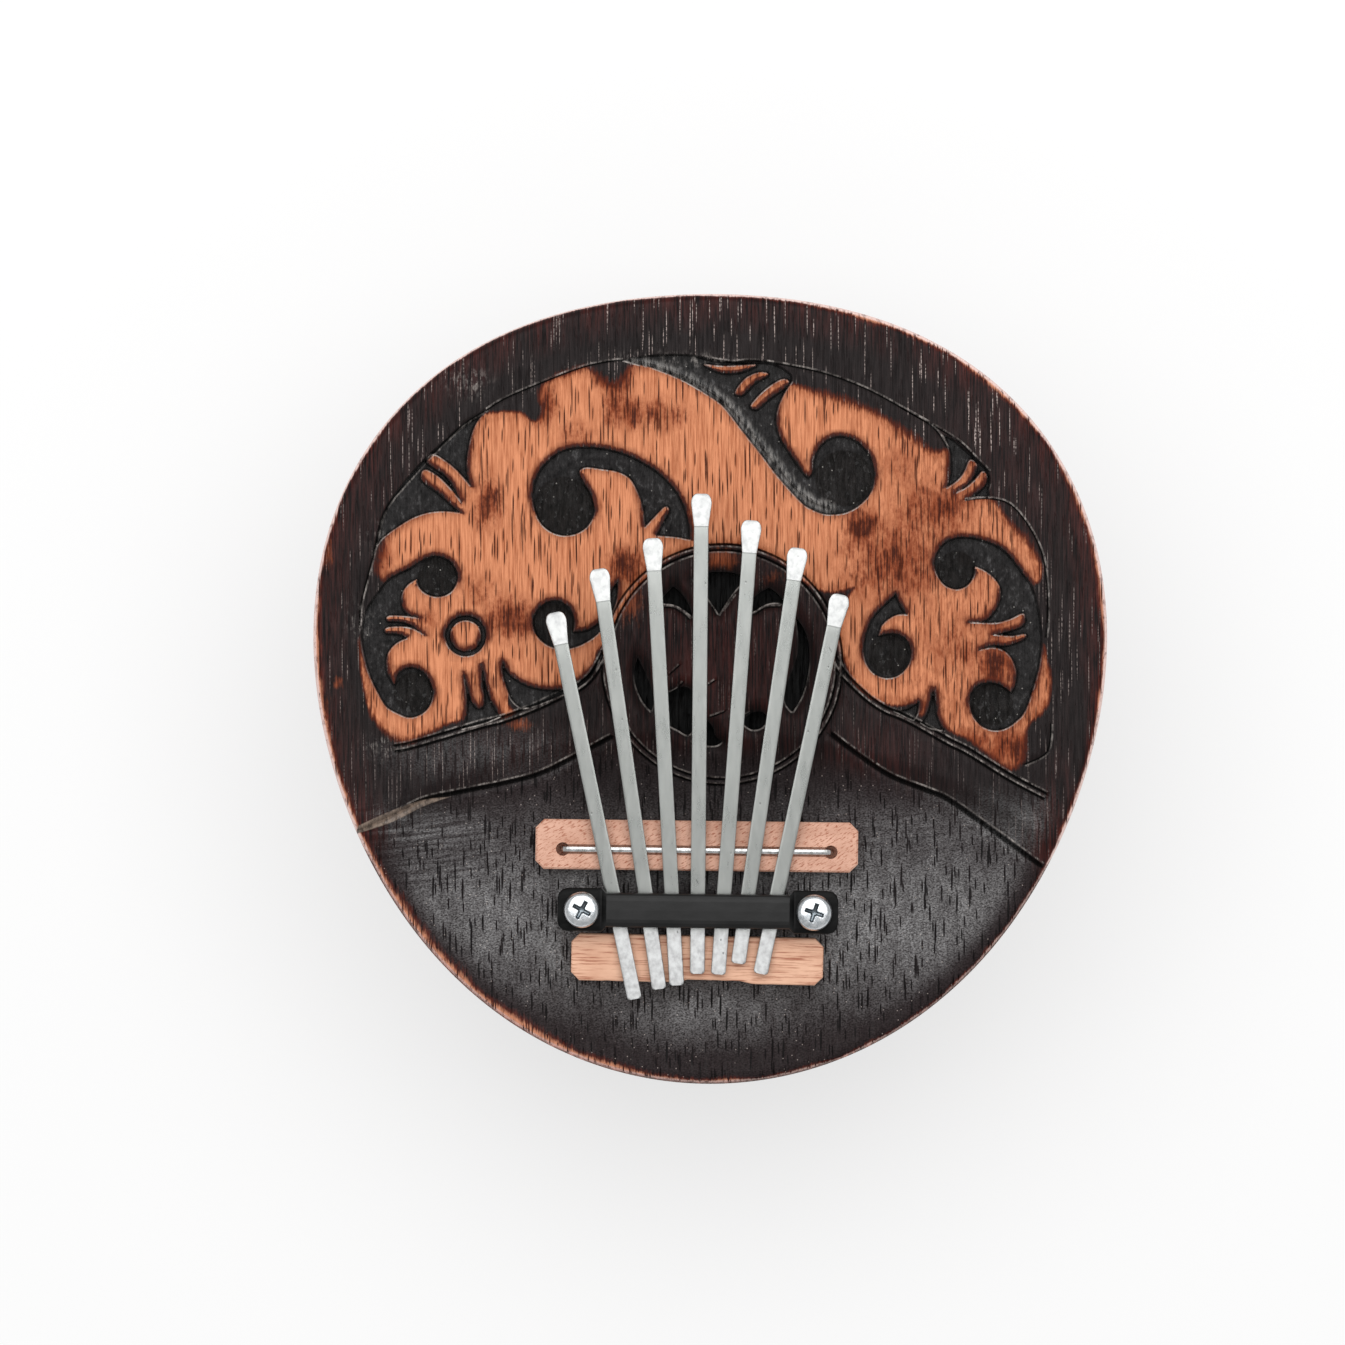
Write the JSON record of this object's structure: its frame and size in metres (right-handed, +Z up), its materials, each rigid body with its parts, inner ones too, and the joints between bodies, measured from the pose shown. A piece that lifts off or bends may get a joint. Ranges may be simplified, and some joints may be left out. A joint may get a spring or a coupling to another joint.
{
  "type": "coconut shell kalimba",
  "caption": "Thumb piano: carved and pierced wooden soundboard on a half coconut shell, with plucked steel tines held over a bridge wire by a screwed pressure bar.",
  "frame": {"origin": "Bottom centre of the bounding box, in the plane of the shell's ground foot.", "axes": "+Z points up out of the board's face, +Y from the pressure bar towards the tine tips, +X to the right when looking down at the board."},
  "size_m": [0.1346, 0.134, 0.0743],
  "materials": {
    "coconut_shell": "oiled",
    "stained_wood": "stained satin",
    "pale_wood": "sanded",
    "spring_steel": "ground",
    "black_steel": "satin black",
    "zinc": "zinc plated"
  },
  "bodies": {
    "resonator": {"coconut_shell": "coconut_shell", "soundboard": "stained_wood", "front_bridge": "pale_wood", "bridge_wire": "spring_steel", "pressure_bar": "black_steel", "screw_left": "zinc", "screw_right": "zinc", "rear_bridge": "pale_wood"},
    "key_1": {"tine_1": "spring_steel"},
    "key_2": {"tine_2": "spring_steel"},
    "key_3": {"tine_3": "spring_steel"},
    "key_4": {"tine_4": "spring_steel"},
    "key_5": {"tine_5": "spring_steel"},
    "key_6": {"tine_6": "spring_steel"},
    "key_7": {"tine_7": "spring_steel"}
  },
  "joints": [
    {"name": "tine_1_pluck", "type": "hinge", "parent": "resonator", "child": "key_1", "pos_m": [-0.018, -0.02711, 0.06815], "axis": [0.9999, -0.0122, 0], "range_deg": [-1.2, 1], "stiffness_Nm_per_rad": 3.056},
    {"name": "tine_2_pluck", "type": "hinge", "parent": "resonator", "child": "key_2", "pos_m": [-0.01202, -0.02718, 0.06815], "axis": [0.9999, -0.0122, 0], "range_deg": [-1.2, 1], "stiffness_Nm_per_rad": 2.61},
    {"name": "tine_3_pluck", "type": "hinge", "parent": "resonator", "child": "key_3", "pos_m": [-0.00693, -0.02724, 0.06815], "axis": [0.9999, -0.0122, 0], "range_deg": [-1.2, 1], "stiffness_Nm_per_rad": 2.372},
    {"name": "tine_4_pluck", "type": "hinge", "parent": "resonator", "child": "key_4", "pos_m": [-0.00204, -0.0273, 0.06815], "axis": [0.9999, -0.0122, 0], "range_deg": [-1.2, 1], "stiffness_Nm_per_rad": 2.076},
    {"name": "tine_5_pluck", "type": "hinge", "parent": "resonator", "child": "key_5", "pos_m": [0.00285, -0.02736, 0.06815], "axis": [0.9999, -0.0122, 0], "range_deg": [-1.2, 1], "stiffness_Nm_per_rad": 2.236},
    {"name": "tine_6_pluck", "type": "hinge", "parent": "resonator", "child": "key_6", "pos_m": [0.00742, -0.02742, 0.06815], "axis": [0.9999, -0.0122, 0], "range_deg": [-1.2, 1], "stiffness_Nm_per_rad": 2.418},
    {"name": "tine_7_pluck", "type": "hinge", "parent": "resonator", "child": "key_7", "pos_m": [0.01278, -0.02748, 0.06815], "axis": [0.9999, -0.0122, 0], "range_deg": [-1.2, 1], "stiffness_Nm_per_rad": 2.815}
  ]
}
